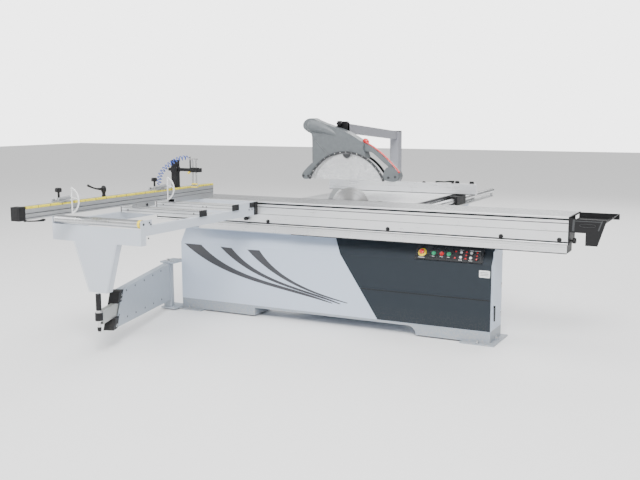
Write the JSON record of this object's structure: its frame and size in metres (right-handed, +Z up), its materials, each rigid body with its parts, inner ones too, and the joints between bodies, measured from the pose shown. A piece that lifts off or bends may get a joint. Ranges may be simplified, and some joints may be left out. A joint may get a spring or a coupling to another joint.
{
  "type": "sliding table panel saw",
  "caption": "Stationary panel saw: sliding carriage with outrigger and crosscut fence, tilting saw unit, rip fence, overhead blade guard.",
  "frame": {"origin": "on the floor, at the middle of the four floor anchor holes under the long base", "axes": "+X along the sliding carriage towards the operator end, +Y away from the base towards the rip fence side, +Z up"},
  "size_m": [3.466, 3.95, 1.512],
  "materials": {
    "plinth_grey": "satin powder coat",
    "body_light": "satin powder coat",
    "body_dark": "satin powder coat",
    "sheet_grey": "satin powder coat",
    "anodised": "clear anodised extrusion",
    "steel": "ground",
    "cast": "ground top, painted underside",
    "motor_paint": "gloss",
    "black_plastic": "moulded",
    "black_paint": "textured",
    "panel_black": "satin overlay",
    "green": "moulded",
    "red": "moulded",
    "hood_grey": "moulded",
    "clear": "clear sheet",
    "hose_blue": "coiled tube",
    "white_plastic": "moulded",
    "belt_rubber": "matt",
    "blade_steel": "ground"
  },
  "bodies": {
    "base": {"plinth": "plinth_grey", "base_frame": "body_light", "fascia_light": "body_light", "fascia_dark": "body_dark", "control_panel": "panel_black", "fixed_rail": "steel", "hinge_bracket": "sheet_grey", "saw_cabinet": "body_light", "main_table": "cast", "table_insert": "anodised", "extension_table": "body_light", "extension_struts": "body_light", "guide_bar": "steel", "trunnion_brackets": "black_paint", "guard_post": "body_light", "hood_clamp": "black_paint"},
    "door": {"end_door": "body_light"},
    "latch": {"door_latch": "black_plastic"},
    "stop_button": {"emergency_stop_button": "red"},
    "start": {"start_key": "green"},
    "stop": {"stop_key": "red"},
    "scoring_switch": {"scoring_key": "green"},
    "raise": {"raise_key": "white_plastic"},
    "lower": {"lower_key": "white_plastic"},
    "tilt_up": {"tilt_up_key": "white_plastic"},
    "tilt_down": {"tilt_down_key": "white_plastic"},
    "carriage": {"carriage": "anodised", "carriage_end_plates": "black_plastic", "push_tray": "black_paint", "outrigger_frame": "sheet_grey", "outrigger_planks": "anodised", "outrigger_leg": "sheet_grey"},
    "lock_knob": {"locking_knob": "black_plastic"},
    "roller": {"front_roller": "steel"},
    "fence": {"crosscut_fence": "anodised", "stop_blocks": "anodised", "clamp_column": "black_paint", "air_hose": "hose_blue"},
    "extension": {"fence_extension": "anodised"},
    "stop_outer": {"flip_stop_outer": "white_plastic"},
    "stop_inner": {"flip_stop_inner": "white_plastic"},
    "lever": {"index_lever": "black_plastic"},
    "clamp": {"clamp_rods": "steel"},
    "swing_arm": {"arm_box": "sheet_grey", "arm_end_bracket": "black_paint"},
    "telescope": {"inner_arm": "steel", "arm_head": "steel"},
    "tilt_unit": {"tilt_frame": "black_paint"},
    "scoring_unit": {"scoring_blade": "blade_steel"},
    "height_unit": {"arbor_housing": "cast", "motor": "motor_paint", "drive_belt": "belt_rubber", "riving_knife": "blade_steel"},
    "arbor": {"main_arbor": "steel", "main_blade": "blade_steel"},
    "motor_rotor": {"motor_pulley": "cast"},
    "rip_carrier": {"rip_fence_casting": "black_paint"},
    "rip_profile": {"rip_fence_profile": "anodised"},
    "guard_hood": {"hood": "hood_grey", "hood_guard": "clear"}
  },
  "joints": [
    {"name": "carriage_slide", "type": "slide", "parent": "base", "child": "carriage", "axis": [1, 0, 0], "range_m": [-0.2, 1.45]},
    {"name": "arm_swing", "type": "hinge", "parent": "base", "child": "swing_arm", "pos_m": [-1.35, -0.19, 0.2], "axis": [0, 0, 1], "range_deg": [-6, 37]},
    {"name": "arm_telescope", "type": "slide", "parent": "swing_arm", "child": "telescope", "axis": [0.3322, -0.9432, 0], "range_m": [-0.08, 0.92]},
    {"name": "fence_pivot", "type": "hinge", "parent": "carriage", "child": "fence", "pos_m": [-1.023, -0.485, 0.9], "axis": [0, 0, 1], "range_deg": [-45, 45]},
    {"name": "fence_telescope", "type": "slide", "parent": "fence", "child": "extension", "axis": [0, -1, 0], "range_m": [0, 0.95]},
    {"name": "outer_stop_flip", "type": "hinge", "parent": "fence", "child": "stop_outer", "pos_m": [-1, -1.62, 1.03], "axis": [0, -1, 0], "range_deg": [0, 100]},
    {"name": "inner_stop_flip", "type": "hinge", "parent": "fence", "child": "stop_inner", "pos_m": [-1, -0.65, 1.03], "axis": [0, -1, 0], "range_deg": [0, 100]},
    {"name": "index_lever_turn", "type": "hinge", "parent": "fence", "child": "lever", "pos_m": [-1.023, -1.283, 1.02], "axis": [0, 0, 1], "range_deg": [-90, 90]},
    {"name": "clamp_press", "type": "slide", "parent": "fence", "child": "clamp", "axis": [0, 0, -1], "range_m": [0, 0.06], "stiffness_N_per_m": 300, "springref_m": -0.05},
    {"name": "lock_knob_turn", "type": "hinge", "parent": "carriage", "child": "lock_knob", "pos_m": [1.78, -0.14, 0.745], "axis": [1, 0, 0], "range_deg": [-170, 170]},
    {"name": "front_roller_spin", "type": "hinge", "parent": "carriage", "child": "roller", "pos_m": [-0.877, -1.512, 0.8737], "axis": [1, 0, 0], "continuous": true},
    {"name": "door_swing", "type": "hinge", "parent": "base", "child": "door", "pos_m": [1.2615, 0.105, 0.37], "axis": [0, 0, 1], "range_deg": [0, 110]},
    {"name": "latch_turn", "type": "hinge", "parent": "door", "child": "latch", "pos_m": [1.265, -0.065, 0.25], "axis": [1, 0, 0], "range_deg": [0, 90]},
    {"name": "start_press", "type": "slide", "parent": "base", "child": "start", "axis": [0, 0.8271, -0.5621], "range_m": [0, 0.0025], "stiffness_N_per_m": 900, "springref_m": -0.002},
    {"name": "stop_press", "type": "slide", "parent": "base", "child": "stop", "axis": [0, 0.8271, -0.5621], "range_m": [0, 0.0025], "stiffness_N_per_m": 900, "springref_m": -0.002},
    {"name": "scoring_press", "type": "slide", "parent": "base", "child": "scoring_switch", "axis": [0, 0.8271, -0.5621], "range_m": [0, 0.0025], "stiffness_N_per_m": 900, "springref_m": -0.002},
    {"name": "raise_press", "type": "slide", "parent": "base", "child": "raise", "axis": [0, 0.8271, -0.5621], "range_m": [0, 0.0025], "stiffness_N_per_m": 900, "springref_m": -0.002},
    {"name": "lower_press", "type": "slide", "parent": "base", "child": "lower", "axis": [0, 0.8271, -0.5621], "range_m": [0, 0.0025], "stiffness_N_per_m": 900, "springref_m": -0.002},
    {"name": "tilt_up_press", "type": "slide", "parent": "base", "child": "tilt_up", "axis": [0, 0.8271, -0.5621], "range_m": [0, 0.0025], "stiffness_N_per_m": 900, "springref_m": -0.002},
    {"name": "tilt_down_press", "type": "slide", "parent": "base", "child": "tilt_down", "axis": [0, 0.8271, -0.5621], "range_m": [0, 0.0025], "stiffness_N_per_m": 900, "springref_m": -0.002},
    {"name": "emergency_press", "type": "slide", "parent": "base", "child": "stop_button", "axis": [0, 0.8271, -0.5621], "range_m": [0, 0.005], "stiffness_N_per_m": 1500, "springref_m": -0.003},
    {"name": "blade_tilt", "type": "hinge", "parent": "base", "child": "tilt_unit", "pos_m": [0.1, 0.185, 0.9], "axis": [-1, 0, 0], "range_deg": [0, 45]},
    {"name": "blade_height", "type": "slide", "parent": "tilt_unit", "child": "height_unit", "axis": [0, 0, -1], "range_m": [0, 0.1]},
    {"name": "arbor_spin", "type": "hinge", "parent": "height_unit", "child": "arbor", "pos_m": [0.08, 0.185, 0.8425], "axis": [0, 1, 0], "continuous": true},
    {"name": "motor_spin", "type": "hinge", "parent": "height_unit", "child": "motor_rotor", "pos_m": [0.3, 0.276, 0.63], "axis": [0, 1, 0], "continuous": true},
    {"name": "scoring_spin", "type": "hinge", "parent": "tilt_unit", "child": "scoring_unit", "pos_m": [0.318, 0.185, 0.8425], "axis": [0, 1, 0], "continuous": true},
    {"name": "rip_fence_travel", "type": "slide", "parent": "base", "child": "rip_carrier", "axis": [0, 1, 0], "range_m": [-0.65, 0.55]},
    {"name": "rip_profile_slide", "type": "slide", "parent": "rip_carrier", "child": "rip_profile", "axis": [1, 0, 0], "range_m": [-0.12, 0.25]},
    {"name": "hood_lift", "type": "slide", "parent": "base", "child": "guard_hood", "axis": [0, 0, 1], "range_m": [-0.045, 0]}
  ],
  "couplings": [
    {"joint": "arm_swing", "follows": "carriage_slide", "rad_per_m": 0.428},
    {"joint": "motor_spin", "follows": "arbor_spin", "ratio": 0.66667}
  ]
}
